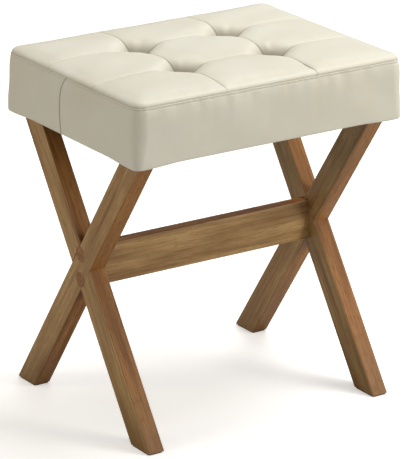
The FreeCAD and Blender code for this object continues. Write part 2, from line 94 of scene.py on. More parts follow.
class CushionSettings(bpy.types.PropertyGroup):
    corner_radius: length("Corner radius", "Upright corners at the widest height", 20)
    foot_corner_radius: length("Foot corner radius", "Upright corners at the lower edge", 13)
    foot_corner_height: length("Foot corner height", "Height over which the corners tighten", 48)
    foot_radius: length("Foot radius", "Round of the lower edge", 3.5)
    widest_height: length("Widest height", "Height of the fullest outline", 38)
    bottom_draw_in: length("Bottom draw in", "From the fullest outline in to the lower edge", 0.6)
    seam_draw_in: length("Seam draw in", "From the fullest outline in to the edge seam", 3.6)
    seam_drop: length("Seam drop", "How far its stitches pull the edge seam down", 2.2)
    lip_height: length("Lip", "Roll of the seam allowance under the edge seam", 2.6)
    roll_width: length("Roll width", "Width of the round over the edge seam", 8)
    roll_height: length("Roll height", "Height of the round over the edge seam", 4.6)
    crown_height: length("Crown", "Rise of the top above the seam's line", 7.3)
    crown_reach: length("Crown reach", "Distance from the edge over which the crown rises", 90)
    puff_height: length("Puff", "How much fuller each panel is in its middle", 0.9)
    puff_reach: length("Puff reach", "Distance from its seams at which a panel is full", 32)
    tuft_depth: length("Tuft depth", "How far each tuft is pulled down", 31)
    tuft_floor: length("Tuft floor", "Radius of the round bottom of a tuft", 2.5)
    bowl_radius: length("Bowl radius", "Radius of the bowl round each tuft", 37)
    seam_depth: length("Seam valley", "Depth of the valley over a panel seam beside a tuft", 3.4)
    pull_depth: length("Pull", "Depth of the crease at the right seam's front end", 1.6)
    pull_place: length("Pull place", "From the front edge seam to that crease", 22)
    stitch_depth: length("Stitch line", "Depth of the fine line between two pieces of cover", 0.65)
    stitch_width: length("Stitch width", "Width of that line to each side", 0.8)
    pucker_height: length("Puckers", "Height of the small gathers beside the seams", 0.8)
    side_wave: length("Side waves", "Height of the slow waves of the sides", 0.7)
    band_seam_top: length("Band seam top", "Place of the band's seam at the edge seam", 7)
    band_seam_middle: length("Band seam middle", "Place of the band's seam half way up", 21)
    band_seam_foot: length("Band seam foot", "Place of the band's seam at the lower edge", 17)
    corner_sag: length("Corner sag", "How far the cover hangs down at each lower corner", 2.4)
    hem_width: length("Hem", "Cover turned in under the seat", 45)
    cover_thickness: length("Cover thickness", "Thickness of the coated cloth", 1)
    grid_step: length("Mesh step", "Distance between the mesh lines of the top", 2)
    fine_step: length("Fine mesh step", "Distance between them beside the band's seam", 0.7)
    pressure: amount("Pressure", "Push of the foam from inside", 4)
    ease: amount("Ease", "Share by which the cover is cut too large", 0.003)
    swell: length("Swell", "Furthest that the top is blown up", 1.1)
    side_swell: length("Side swell", "Furthest that the sides are blown out", 0.2)
    cloth_spacing: length("Cloth spacing", "Distance between the points of the blown cover", 5)
    cloth_frames: bpy.props.IntProperty(
        name="Cloth frames", description="Steps of the blown cover", default=20)
    colour: swatch("Cover colour", "Colour of the coated cloth", (0.775, 0.76, 0.67))


class TimberSettings(bpy.types.PropertyGroup):
    light_stain: swatch("Light stain", "Stained timber between its grain lines", (0.58, 0.37, 0.155))
    dark_stain: swatch("Dark stain", "Stained timber in its grain lines", (0.26, 0.13, 0.04))
    # painted shade: the timber is darkened towards the floor up to this height
    floor_shade_height: length("Floor_shade", "Height up to which the feet are darkened by the floor", 90)


class DustCoverSettings(bpy.types.PropertyGroup):
    corner_radius: length("Corner radius", "Corners of the cloth", 12)
    sag: length("Sag", "How far the cloth hangs between the cleats", 1.6)
    thickness: length("Thickness", "Thickness of the cloth", 0.5)
    staple_spacing: length("Staple spacing", "Distance between staples", 32)
    staple_inset: length("Staple inset", "Distance from the staples to the edge of the cloth", 7)


class StudioSettings(bpy.types.PropertyGroup):
    floor_colour: swatch("Floor colour", "Pale floor", (0.95, 0.95, 0.95))
    key_power: wattage("Key light", "Power of the large light above", 37)
    front_power: wattage("Front light", "Power of the light to the front right", 33)
    left_power: wattage("Left light", "Power of the light to the left", 15)
    surround: amount("Surround", "Strength of the white surround", 0.33)
    floor_bounce: amount("Floor bounce", "Share of its light that the floor throws back", 0.55)
    floor_glow: amount("Floor glow", "How much whiter the floor looks than its own colour", 0.45)


# Curves and mesh helpers


def smooth_step(values, low, high):
    share = np.clip((values - low) / (high - low), 0, 1)
    return share * share * (3 - 2 * share)


def bell(offset, width):
    """A hump that is 1 in its middle and nearly gone at twice its width."""
    return np.exp(-((offset / width) ** 2))


def fade(distance, reach):
    """From 1 down to nothing with distance. It is a third at its reach."""
    return np.exp(-distance / reach)


def ripple(values, wavelength, seed, octaves=3):
    """A smooth random curve of about -1 to 1 along some positions, from sines with seeded phases."""
    chance = np.random.default_rng(seed)
    total = np.zeros_like(values)
    weight = 0
    for octave in range(octaves):
        for _ in range(3):
            stretch = chance.uniform(0.75, 1.35) / wavelength * 1.7 ** octave
            share = 0.6 ** octave
            total += share * np.sin(2 * math.pi * (values * stretch + chance.uniform()))
            weight += share * 0.5
    return total / weight


def round_corners(x, y, run_x, run_y, radius):
    """Pull the corner squares of a rectangle in to quarter discs. The runs are half its straight sides."""
    u = np.clip((np.abs(x) - run_x) / radius, 0, 1)
    v = np.clip((np.abs(y) - run_y) / radius, 0, 1)
    inside = (u > 0) & (v > 0)
    round_x = np.sign(x) * (run_x + radius * u * np.sqrt(1 - v * v / 2))
    round_y = np.sign(y) * (run_y + radius * v * np.sqrt(1 - u * u / 2))
    return np.where(inside, round_x, x), np.where(inside, round_y, y)


def grid_mesh(x, y, z):
    """Points of a grid, its faces as seen from above, and the points round its rim."""
    index = np.arange(x.size).reshape(x.shape)
    faces = np.stack([index[:-1, :-1], index[:-1, 1:], index[1:, 1:], index[1:, :-1]], axis=-1)
    rim = np.concatenate([index[0, :-1], index[:-1, -1], index[-1, :0:-1], index[:0:-1, 0]])
    return np.stack([x.ravel(), y.ravel(), z.ravel()], axis=1), faces.reshape(-1, 4), rim


def new_object(name, data):
    """An object in the scene, at the origin."""
    piece = bpy.data.objects.new(name, data)
    bpy.context.scene.collection.objects.link(piece)
    return piece


def new_piece(name, points, faces):
    """A smooth shaded mesh object."""
    mesh = bpy.data.meshes.new(name)
    mesh.from_pydata([tuple(p) for p in points], [], [tuple(f) for f in faces])
    mesh.shade_smooth()
    return new_object(name, mesh)


def evaluated(piece):
    """A piece as its modifiers leave it."""
    return piece.evaluated_get(bpy.context.evaluated_depsgraph_get())


def finish(piece, material):
    piece.data.materials.clear()
    piece.data.materials.append(material)


# Cushion

# How far a tuft shows along its seams: in their valley, painted shade line, gathers and hold on the blown
# cover
VALLEY_PULL = 20 * MM
LINE_PULL = 26 * MM
GATHER_PULL = 18 * MM
HOLD_PULL = 35 * MM

# First seeds of the tufts' pleats and of the seams' gathers
PLEAT_SEED = 40
GATHER_SEED = 74


class CushionForm:
    """The cushion's skin, worked out from its settings. All its outlines are rounded rectangles."""

    def __init__(self, settings):
        self.set = settings
        self.run_x = CUSHION_HALF_LENGTH - settings.corner_radius
        self.run_y = CUSHION_HALF_DEPTH - settings.corner_radius
        self.top_radius = settings.corner_radius - settings.seam_draw_in
        self.top_x = self.run_x + self.top_radius
        self.top_y = self.run_y + self.top_radius
        self.full = SEAM_HEIGHT - settings.seam_drop - CUSHION_BASE

    def lines(self, half, tuft, fine=()):
        """Mesh lines from -half to half, closest on the seams, at the edge and in a fine stretch."""
        settings = self.set
        beside_seam = np.array((0, 0.55, 1.15, 2, 3.2)) * MM
        beside_edge = np.array((0, 0.25, 0.7, 1.4, 2.3, 3.4, 4.7, 6.2)) * MM
        start, end = tuft - beside_seam[-1], tuft + beside_seam[-1]
        edge = half - beside_edge[-1]
        marks = [0, *fine, start]
        places = [0.0]
        for stretch, (low, high) in enumerate(zip(marks, marks[1:])):
            spacing = settings.fine_step if stretch == 1 else settings.grid_step
            places += list(np.linspace(low, high, round((high - low) / spacing) + 1)[1:])
        places += [tuft - offset for offset in beside_seam[-2::-1]]
        places += [tuft + offset for offset in beside_seam[1:]]
        places += list(np.linspace(end, edge, round((edge - end) / settings.grid_step) + 1)[1:])
        places += [half - offset for offset in beside_edge[-2::-1]]
        places = np.array(places)
        return np.concatenate([-places[:0:-1], places])

    def edge_distance(self, x, y):
        """Distance in from the outline of the top."""
        u = np.abs(x) - self.run_x
        v = np.abs(y) - self.run_y
        corner = np.hypot(np.maximum(u, 0), np.maximum(v, 0))
        return np.maximum(self.top_radius - corner - np.minimum(np.maximum(u, v), 0), 0)

    def crown(self, inset):
        """The top rolls over its edge seam in a round, and then rises slowly to its crown."""
        settings = self.set
        share = 1 - np.clip(inset / settings.roll_width, 0, 1)
        rolled = settings.roll_height * np.sqrt(np.maximum(1 - share ** 2, 0))
        rise = settings.crown_height + settings.seam_drop - settings.roll_height
        return rolled + rise * (1 - (1 - np.clip(inset / settings.crown_reach, 0, 1)) ** 3)

    def puff(self, x, y):
        """Each panel stands a little fuller in its middle."""
        def fullness(value, tuft, half):
            distance = np.minimum(np.abs(np.abs(value) - tuft), half - np.abs(value))
            return 1 - np.clip(1 - distance / self.set.puff_reach, 0, 1) ** 2
        return self.set.puff_height * fullness(x, TUFT_X, self.top_x) * fullness(y, TUFT_Y, self.top_y)

    def tuft_drop(self, x, y, seed):
        """Depth of one tuft: a flared bowl, drawn out along the seams and into a few pleats."""
        settings = self.set
        chance = np.random.default_rng(seed)
        angle = np.arctan2(y, x)
        along_seams = np.abs(np.cos(2 * angle)) ** 6
        reach = settings.bowl_radius * (1 + 0.3 * along_seams)
        pleats_between_seams = 2
        for quarter in range(4):
            for _ in range(pleats_between_seams):
                from_seam, half_width = chance.uniform(14, 76), chance.uniform(6, 12)
                apart = np.angle(np.exp(1j * (angle - math.radians(quarter * 90 + from_seam))))
                reach += chance.uniform(-1, 1.4) * MM * bell(apart, math.radians(half_width))
        far = np.hypot(np.hypot(x, y), settings.tuft_floor) - settings.tuft_floor
        return settings.tuft_depth * np.clip(1 - far / reach, 0, 1) ** 2.5

    def seam_valley(self, across, to_tuft, to_edge):
        """Depth of the valley over one panel seam: widest and deepest beside the tufts, faint at the edge."""
        settings = self.set
        near = fade(to_tuft, VALLEY_PULL)
        clear = smooth_step(to_edge, 0, 22 * MM)
        depth = settings.seam_depth * (0.1 + 0.9 * near) * (0.25 + 0.75 * clear)
        width = (6.5 + 8 * near) * MM
        soft = np.clip(1 - np.abs(across) / width, 0, 1) ** 2
        stitched = bell(across, settings.stitch_width) * smooth_step(to_edge, 0, 5 * MM)
        return depth * soft + settings.stitch_depth * stitched

    def seam_shade_line(self, across, to_tuft):
        """Painted shade in the bottom of a panel seam, strongest where it runs into a tuft."""
        return (0.27 + 0.25 * fade(to_tuft, LINE_PULL)) * bell(across, 1.1 * MM)

    def gathers(self, across, along, to_tuft, seed):
        """Small folds that leave a seam at right angles, strongest beside the tufts."""
        off = np.abs(across)
        strength = 0.12 + 0.9 * fade(to_tuft, GATHER_PULL)
        wave = ripple(along + np.sign(across) * 4 * MM, 16 * MM, seed)
        off_seam = fade(off, 7 * MM) * (off / (off + 1.5 * MM))
        return self.set.pucker_height * strength * wave * off_seam

    def top_surface(self, x, y):
        """Height of the top above the edge seam, and the painted shade of its tuft pits and seam lines."""
        settings = self.set
        drop = valley = line = np.zeros_like(x)
        folds = np.zeros_like(x)
        tufts = [(side_x * TUFT_X, side_y * TUFT_Y) for side_x in (-1, 1) for side_y in (-1, 1)]
        for seed, (tuft_x, tuft_y) in enumerate(tufts, PLEAT_SEED):
            drop = np.maximum(drop, self.tuft_drop(x - tuft_x, y - tuft_y, seed))
        seams = []
        for side in (-1, 1):
            seams.append((y - side * TUFT_Y, x, TUFT_X, self.top_x))
            seams.append((x - side * TUFT_X, y, TUFT_Y, self.top_y))
        for seed, (across, along, tuft, half) in enumerate(seams, GATHER_SEED):
            to_tuft = np.abs(np.abs(along) - tuft)
            valley = np.maximum(valley, self.seam_valley(across, to_tuft, half - np.abs(along)))
            line = np.maximum(line, self.seam_shade_line(across, to_tuft))
            folds += self.gathers(across, along, to_tuft, seed)
        pull = bell(y + self.top_y - settings.pull_place, 13 * MM)
        # painted shade along the crease at the right seam's front end
        line = line + 0.5 * pull * bell(x - TUFT_X, 1.3 * MM)
        valley = valley + settings.pull_depth * pull * np.clip(1 - np.abs(x - TUFT_X) / (8 * MM), 0, 1) ** 2
        swell = 0.6 * MM * ripple(x * 0.8 + y * 0.6, 140 * MM, 91, octaves=1)
        swell += 0.3 * MM * ripple(y - x * 0.4, 75 * MM, 17, octaves=1)
        inset = self.edge_distance(x, y)
        calm = 1 - smooth_step(drop, 9 * MM, 20 * MM)
        height = self.crown(inset) + self.puff(x, y) - drop - valley * (0.3 + 0.7 * calm)
        height += (folds + swell) * calm * smooth_step(inset, 0, 20 * MM)
        # the second value is painted shade: deepest in the tuft pits, and along the seam lines
        return height, np.clip(drop / settings.tuft_depth, 0, 1) + line

    def side_inset(self, height):
        """How far the side lies inside its fullest outline at a height."""
        settings = self.set
        widest = settings.widest_height
        if height < widest:
            return settings.bottom_draw_in * ((widest - height) / (widest - settings.foot_radius)) ** 2
        return settings.seam_draw_in * ((height - widest) / (self.full - widest)) ** 4

    def rings(self):
        """Inset and height of each outline from the edge seam down to the lower round."""
        settings = self.set
        seam = settings.seam_draw_in
        lip = settings.lip_height
        foot = settings.foot_radius
        outlines = [(seam + 0.6 * MM, self.full - 0.35 * MM), (seam + 0.25 * MM, self.full - 0.75 * MM)]
        for angle in np.radians((-50, -20, 10, 40, 70)):
            fallen = 0.7 * MM + lip * (1 + math.sin(angle)) / 2
            outlines.append((seam - lip * 0.42 * math.cos(angle), self.full - fallen))
        widest = settings.widest_height
        below_lip = np.linspace(self.full - lip - 1.4 * MM, widest, 20)
        heights = [*below_lip, *np.linspace(widest, foot, 12)[1:]]
        outlines += [(self.side_inset(height), height) for height in heights]
        for angle in np.radians((75, 60, 45, 30, 15, 0)):
            outlines.append((
                settings.bottom_draw_in + foot * (1 - math.sin(angle)), foot * (1 - math.cos(angle))))
        return outlines

    def corner_radius_at(self, height):
        """The upright corners are pulled tighter towards the foot, where the cover is folded under."""
        settings = self.set
        share = smooth_step(height, 0, settings.foot_corner_height)
        return settings.foot_corner_radius + (settings.corner_radius - settings.foot_corner_radius) * share

    def outline(self, centres, ways, inset, corner):
        """Points of one outline, from the corner centres and outward ways of the points round it."""
        radius = max(corner - inset, 2 * MM)
        shrink_x = (CUSHION_HALF_LENGTH - inset - radius) / self.run_x
        shrink_y = (CUSHION_HALF_DEPTH - inset - radius) / self.run_y
        return centres * [shrink_x, shrink_y] + ways * radius

    def top(self):
        """Points, faces, rim and painted fold shade of the top."""
        settings = self.set
        margin = 2 * MM
        band_seam = (settings.band_seam_top - margin, settings.band_seam_middle + margin)
        flat = np.meshgrid(self.lines(self.top_x, TUFT_X), self.lines(self.top_y, TUFT_Y, band_seam))
        x, y = round_corners(*flat, self.run_x, self.run_y, self.top_radius)
        height, fold_shade = self.top_surface(x, y)
        return *grid_mesh(x, y, CUSHION_BASE + self.full + height), fold_shade.ravel()

    def side_relief(self, outline, along, height):
        """How far the side stands out at one height, and the painted shade in its seam there."""
        settings = self.set
        below = self.full - height
        gather = ripple(along, 38 * MM, 5, octaves=2) * fade(below, 17 * MM)
        gather *= 0.6 * settings.pucker_height * min(1, max(below, 0) / (4 * MM))
        fine = 0.22 * MM * ripple(along, 8 * MM, 12, octaves=2) * bell(below - 2 * MM, 2 * MM)
        share = min(max(height / self.full, 0), 1)
        slow = ripple(along + height * 0.6, 170 * MM, 6, octaves=2)
        belly = settings.side_wave * slow * math.sin(math.pi * share)
        middle = settings.band_seam_middle
        seam_y = middle + (settings.band_seam_top - middle) * share ** 5
        seam_y += (settings.band_seam_foot - middle) * (1 - share) ** 2
        off = outline[:, 1] - seam_y
        on_left = outline[:, 0] < -self.run_x
        # the seam's mask cuts its groove and is also its painted shade
        seam = np.where(on_left, bell(off, settings.stitch_width), 0)
        lap = np.where(on_left & (off > 0), 0.6 * MM * fade(off, 5 * MM), 0)
        return gather + fine + belly + lap - seam * settings.stitch_depth * 1.8, seam


def cushion_mesh(form):
    """Points, faces and painted fold shade of the closed cushion: top, sides, lower round, hem and skin under
    its foam.
    """
    settings = form.set
    top, faces, rim, fold_shade = form.top()
    edge = top[rim, :2]
    run = [form.run_x, form.run_y]
    centres = np.clip(edge, np.negative(run), run)
    ways = edge - centres
    ways /= np.linalg.norm(ways, axis=1)[:, None]
    steps = np.linalg.norm(np.roll(edge, -1, axis=0) - edge, axis=1)
    along = np.cumsum(steps) - steps
    to_corner = np.hypot(*(np.abs(edge) - run).T)
    corner_sag = settings.corner_sag * (1 - smooth_step(to_corner, 8 * MM, 60 * MM))
    count = len(rim)

    rings = []
    for inset, height in form.rings():
        outline = form.outline(centres, ways, inset, form.corner_radius_at(height))
        relief, seam = form.side_relief(outline, along, height)
        hang = corner_sag * (1 - smooth_step(height, 2 * MM, 26 * MM))
        # painted shade under the lip of the edge seam
        lip_shade = 0.2 * bell(form.full - 0.9 * MM - height, 0.6 * MM)
        rings.append((outline + ways * relief[:, None], height - hang, np.maximum(0.6 * seam, lip_shade)))
    board = CUSHION_HALF_LENGTH - BOARD_HALF_LENGTH
    thickness = settings.cover_thickness
    for inset, height in (
        (settings.hem_width, 0),
        (settings.hem_width, thickness),
        (board + 4 * MM, thickness),
        (board, thickness + 3 * MM),
        (board, BOARD_TOP),
    ):
        outline = form.outline(centres, ways, inset, settings.foot_corner_radius)
        rings.append((outline, height, np.zeros(count)))

    # folds here gathers the painted shade of each point: tuft pits, seams and under the lip
    points, folds, faces = [top], [fold_shade], faces.tolist()
    first, start = rim, len(top)
    for outline, height, crease in rings:
        folds.append(crease)
        points.append(np.column_stack([outline, CUSHION_BASE + height + np.zeros(count)]))
        second = start + np.arange(count)
        faces += np.stack([first, second, np.roll(second, -1), np.roll(first, -1)], axis=1).tolist()
        first = second
        start += count
    faces.append(first.tolist())
    return np.concatenate(points), faces, np.concatenate(folds)


# Cover blown up over its foam


def positions(mesh):
    places = np.empty(len(mesh.vertices) * 3)
    mesh.vertices.foreach_get("co", places)
    return places.reshape(-1, 3)


def hold(form, places):
    """How firmly the cover is held at some places: by its tufts, its seams, its hem and the board's edge."""
    x, y, z = np.abs(places[:, 0]), np.abs(places[:, 1]), places[:, 2] - CUSHION_BASE
    inset = form.edge_distance(x, y)
    on_top = (inset > 2 * MM) & (z > form.set.widest_height - 3 * MM)
    far = np.hypot(x - TUFT_X, y - TUFT_Y)
    off = np.minimum(np.abs(x - TUFT_X), np.abs(y - TUFT_Y))
    seam = bell(off, 3 * MM) * (0.35 + 0.65 * fade(far, HOLD_PULL))
    inner = np.where(on_top, np.maximum(seam, bell(far, 10 * MM)), 0)
    rim = 0.9 * bell(np.hypot(inset, z - form.full), 5 * MM)
    hem = 1 - smooth_step(z, BOARD_TOP + 3 * MM, BOARD_TOP + 16 * MM)
    return np.maximum(np.maximum(inner, rim), hem)


def even_copy(points, faces, spacing):
    """The cover as an evenly spaced mesh."""
    draft = new_piece("cover_draft", points, faces)
    remesh = draft.modifiers.new("even", "REMESH")
    remesh.mode = "VOXEL"
    remesh.voxel_size = spacing
    mesh = bpy.data.meshes.new_from_object(evaluated(draft))
    bpy.data.objects.remove(draft)
    return mesh


def carry_over(points, places, moves, spacing):
    """Moves for some points, each a weighted mean of the moves of the places nearest to it."""
    tree = KDTree(len(places))
    for index, place in enumerate(places):
        tree.insert(place, index)
    tree.balance()
    carried = np.empty_like(points)
    nearest = 8
    for number, point in enumerate(points):
        near = tree.find_n(point, nearest)
        weights = np.array([math.exp(-((gap / spacing) ** 2)) + TINY for _, _, gap in near])
        carried[number] = weights @ moves[[index for _, index, _ in near]] / weights.sum()
    return carried


def blow_up(form, points, faces):
    """How far each point of the cover moves when Cloth blows it up, held at its tufts, seams and hem."""
    settings = form.set
    mesh = even_copy(points, faces, settings.cloth_spacing)
    rest = positions(mesh)
    cover = new_object("cover_cloth", mesh)
    held = cover.vertex_groups.new(name="held")
    for number, weight in enumerate(hold(form, rest)):
        held.add([number], float(weight), "REPLACE")
    modifier = cover.modifiers.new("cloth", "CLOTH")
    cloth = modifier.settings
    cloth.quality = 6
    cloth.use_pressure = True
    cloth.uniform_pressure_force = settings.pressure
    cloth.vertex_group_mass = held.name
    cloth.shrink_min = -settings.ease
    cloth.effector_weights.gravity = 0
    modifier.collision_settings.use_collision = False
    modifier.point_cache.frame_start = 1
    modifier.point_cache.frame_end = settings.cloth_frames
    scene = bpy.context.scene
    for number in range(1, settings.cloth_frames + 1):
        scene.frame_set(number)
    moves = positions(evaluated(cover).data) - rest
    scene.frame_set(1)
    bpy.data.objects.remove(cover)
    reach = np.maximum(np.linalg.norm(moves, axis=1), TINY)
    furthest = np.where(form.edge_distance(rest[:, 0], rest[:, 1]) > 0, settings.swell, settings.side_swell)
    moves *= (furthest * np.tanh(reach / furthest) / reach)[:, None]
    return carry_over(points, rest, moves, settings.cloth_spacing)


# Shader groups and materials


class Wiring:
    """Adds nodes to a tree, and sets or links their sockets."""

    def __init__(self, tree):
        self.tree = tree

    def feed(self, node, socket, value):
        """Link a socket to another, or set its value. The socket is given by its name or its place."""
        if isinstance(value, bpy.types.NodeSocket):
            self.tree.links.new(value, node.inputs[socket])
        else:
            node.inputs[socket].default_value = value

    def fill(self, node, **inputs):
        """Feed a node's inputs by name, with _ for each space."""
        for name, value in inputs.items():
            self.feed(node, name.replace("_", " "), value)
        return node

    def node(self, kind, settings=None, *values, **inputs):
        """A new node with its settings, and its inputs by place or by name."""
        node = self.tree.nodes.new(kind)
        for name, value in (settings or {}).items():
            setattr(node, name, value)
        for place, value in enumerate(values):
            self.feed(node, place, value)
        return self.fill(node, **inputs)

    def group(self, name, **inputs):
        """The outputs of a shared group, which is built when it is first wanted."""
        tree = bpy.data.node_groups.get(name) or SHARED_GROUPS[name](name)
        return self.node("ShaderNodeGroup", {"node_tree": tree}, **inputs).outputs

    def math(self, operation, first, second):
        return self.node("ShaderNodeMath", {"operation": operation}, first, second).outputs[0]

    def times(self, first, second):
        return self.math("MULTIPLY", first, second)

    def vector_math(self, operation, *values):
        return self.node("ShaderNodeVectorMath", {"operation": operation}, *values).outputs

    def noise(self, vector, scale, detail, roughness=0.5, distortion=0.0):
        return self.node(
            "ShaderNodeTexNoise", Vector=vector, Scale=scale, Detail=detail, Roughness=roughness,
            Distortion=distortion).outputs["Fac"]

    def span(self, value, low, high, to_low=0, to_high=1):
        """Map a value from one range to another, held at the ends."""
        return self.node("ShaderNodeMapRange", None, value, low, high, to_low, to_high).outputs["Result"]

    def peak(self, value, rise, fall):
        """1 between a rise and a fall of a value, and 0 outside them."""
        return self.times(self.span(value, *rise), self.span(value, *fall, 1, 0))

    def grey(self, value):
        return self.node("ShaderNodeCombineColor", None, value, value, value).outputs[0]

    def mix(self, first, second, factor, blend="MIX"):
        node = self.node("ShaderNodeMix", {"data_type": "RGBA", "blend_type": blend}, factor)
        self.feed(node, 6, first)
        self.feed(node, 7, second)
        return node.outputs[2]

    def object_vector(self, turn=(0, 0, 0), shift=(0, 0, 0)):
        place = self.node("ShaderNodeTexCoord").outputs["Object"]
        return self.node("ShaderNodeMapping", Vector=place, Rotation=turn, Location=shift).outputs[0]

    def bump(self, shader, height, strength, distance):
        node = self.node("ShaderNodeBump", Height=height, Strength=strength, Distance=distance)
        self.feed(shader, "Normal", node.outputs[0])


def add_socket(tree, way, label, kind):
    return tree.interface.new_socket(name=label, in_out=way, socket_type=f"NodeSocket{kind}")


def new_group(name, inputs, outputs):
    """A shader group with its sockets. Returns the group, its wiring, its inputs and its end node."""
    group = bpy.data.node_groups.new(name, "ShaderNodeTree")
    add_socket(group, "INPUT", "Vector", "Vector")
    kinds = {1: "Float", 3: "Vector", 4: "Color"}
    for label, default in inputs.items():
        add_socket(group, "INPUT", label, kinds[np.size(default)]).default_value = default
    for label in outputs:
        add_socket(group, "OUTPUT", label, "Color" if label == "Color" else "Float")
    given = group.nodes.new("NodeGroupInput").outputs
    return group, Wiring(group), given, group.nodes.new("NodeGroupOutput")


def timber_group(name):
    """Stained timber whose grain runs along X of the vector it is given. Faces square to its plain way get
    painted shade, and its rounded edges a painted shade band and a painted highlight.
    """
    white = (1, 1, 1, 1)
    group, wire, given, end = new_group(
        name,
        {
            "Light": white, "Dark": white, "Figure": 60.0, "Fibres": 900.0, "Pores": 0.6,
            # Edge Tint is painted shade on faces turned across the plain way; Edge Wear sets the painted
            # shade band and painted highlight along the rounded edges
            "Edge Tint": white, "Plain Way": (1, 0, 0), "Edge Wear": 0.5,
        },
        ("Color", "Roughness", "Height"),
    )

    def drawn_out(share, scale, *options):
        """Noise drawn out along the grain."""
        return wire.noise(wire.vector_math("MULTIPLY", given["Vector"], (share, 1, 1))[0], scale, *options)

    figure = drawn_out(0.07, given["Figure"], 5.0, 0.62, 0.5)
    bands = drawn_out(0.03, wire.times(given["Figure"], 3.5), 2.0)
    fibres = drawn_out(0.02, given["Fibres"], 3.0, 0.7)
    pores = wire.span(drawn_out(0.12, wire.times(given["Fibres"], 0.75), 2.0), 0.56, 0.66)
    dark_share = wire.math(
        "ADD", wire.times(wire.span(figure, 0.36, 0.66), 0.8), wire.span(bands, 0.45, 0.7, 0, 0.4))
    tone = wire.mix(given["Light"], given["Dark"], wire.math("MINIMUM", dark_share, 1))
    tone = wire.mix(tone, wire.grey(wire.span(fibres, 0.3, 0.7, 0.62, 1.24)), 0.75, "MULTIPLY")

    # painted shade by face orientation: faces square to the plain way are tinted darker, as if turned from
    # the light
    normal = wire.node("ShaderNodeNewGeometry").outputs["Normal"]
    plain = wire.math("ABSOLUTE", wire.vector_math("DOT_PRODUCT", normal, given["Plain Way"])["Value"], 0)
    on_edge = wire.span(plain, 0.35, 0.8, 1, 0)
    pore_share = wire.times(wire.times(pores, given["Pores"]), wire.span(on_edge, 0, 1, 0.6, 1))
    tone = wire.mix(tone, given["Dark"], pore_share)
    tone = wire.mix(tone, wire.mix(tone, given["Edge Tint"], 1.0, "MULTIPLY"), on_edge)

    # painted shade band along each rounded edge, on its side towards the tinted faces
    edge_shade_band = wire.times(wire.peak(plain, (0.03, 0.15), (0.3, 0.5)), given["Edge Wear"])
    tone = wire.mix(tone, wire.mix(given["Dark"], (0, 0, 0, 1), 0.3), edge_shade_band)
    # painted highlight along each rounded edge, broken up by the figure
    rounded = wire.peak(plain, (0.4, 0.6), (0.8, 0.98))
    edge_highlight = wire.times(wire.times(rounded, wire.span(figure, 0.3, 0.6, 1, 0.3)), given["Edge Wear"])
    tone = wire.mix(tone, wire.mix(given["Light"], (1, 0.92, 0.8, 1), 0.25), edge_highlight)

    rough = wire.math("ADD", wire.span(fibres, 0.3, 0.7, 0.34, 0.5), wire.times(pores, 0.15))
    height = wire.math("SUBTRACT", wire.times(fibres, 0.4), pore_share)
    wire.fill(end, Color=tone, Roughness=rough, Height=height)
    return group


def soft_wear_group(name):
    """Slow changes of tone over a surface, as from handling and light."""
    grey = (0.5, 0.5, 0.5, 1)
    group, wire, given, end = new_group(
        name, {"Color": grey, "Worn": grey, "Scale": 9.0, "Amount": 0.3}, ("Color",))
    clouds = wire.noise(given["Vector"], given["Scale"], 4.0, 0.55, 0.3)
    share = wire.times(wire.span(clouds, 0.38, 0.7), given["Amount"])
    wire.fill(end, Color=wire.mix(given["Color"], given["Worn"], share))
    return group


def pressed_grain_group(name):
    """The pressed grain of coated cloth: small pebbles parted by fine creases, with a mask of those creases
    for painted shade.
    """
    group, wire, given, end = new_group(
        name, {"Pebbles": 1100.0, "Softness": 0.4}, ("Height", "Roughness", "Crease"))
    vector = given["Vector"]
    drift = wire.node("ShaderNodeTexNoise", Vector=vector, Scale=160.0, Detail=2.0).outputs["Color"]
    bent = wire.vector_math("MULTIPLY_ADD", drift, (0.0015, 0.0015, 0.0015), vector)[0]
    cells = wire.node(
        "ShaderNodeTexVoronoi", {"feature": "DISTANCE_TO_EDGE"}, Vector=bent,
        Scale=given["Pebbles"]).outputs["Distance"]
    fine = wire.noise(vector, 420.0, 5.0, 0.6)
    pebble = wire.times(wire.span(cells, 0, 0.35), given["Softness"])
    wire.fill(
        end, Height=wire.math("ADD", pebble, fine), Roughness=wire.span(fine, 0.3, 0.7, 0.4, 0.56),
        Crease=wire.span(cells, 0, 0.12, 1, 0))
    return group


SHARED_GROUPS = {
    "timber_grain": timber_group,
    "soft_wear": soft_wear_group,
    "pressed_grain": pressed_grain_group,
}


def new_material(name):
    material = bpy.data.materials.new(name)
    material.use_nodes = True
    return material, Wiring(material.node_tree), material.node_tree.nodes["Principled BSDF"]


def colour4(colour, gain=1.0):
    """A colour with each channel times a gain, or times its own gain."""
    return (*np.multiply(tuple(colour), gain).tolist(), 1)


def timber(name, settings, turn=(0, 0, 0), shift=(0, 0, 0), gain=1.0, figure=60.0, pores=0.75, coat=0.08,
           face_shade_tint=(1, 1, 1), plain_way=(1, 0, 0), edge_light_and_shade=0.6):
    material, wire, shader = new_material(name)
    vector = wire.object_vector(turn, shift)
    dark = colour4(settings.dark_stain, gain)
    # the edge tint and edge wear given here are painted shade and painted highlight
    grain = wire.group(
        "timber_grain", Vector=vector, Light=colour4(settings.light_stain, gain), Dark=dark, Figure=figure,
        Pores=pores, Edge_Tint=colour4(face_shade_tint), Plain_Way=plain_way, Edge_Wear=edge_light_and_shade)
    worn = wire.group("soft_wear", Vector=vector, Color=grain["Color"], Worn=dark, Scale=14.0, Amount=0.35)
    place = wire.node("ShaderNodeSeparateXYZ", Vector=wire.object_vector())
    # painted shade, darker towards the floor
    floor_shade = wire.span(place.outputs["Z"], 0, settings.floor_shade_height, 0.5, 0)
    wire.fill(
        shader, Base_Color=wire.mix(worn["Color"], colour4(settings.dark_stain, 0.6), floor_shade),
        Roughness=grain["Roughness"], Specular_IOR_Level=0.35, Coat_Weight=coat, Coat_Roughness=0.3)
    wire.bump(shader, grain["Height"], 0.35, 0.0004)
    return material


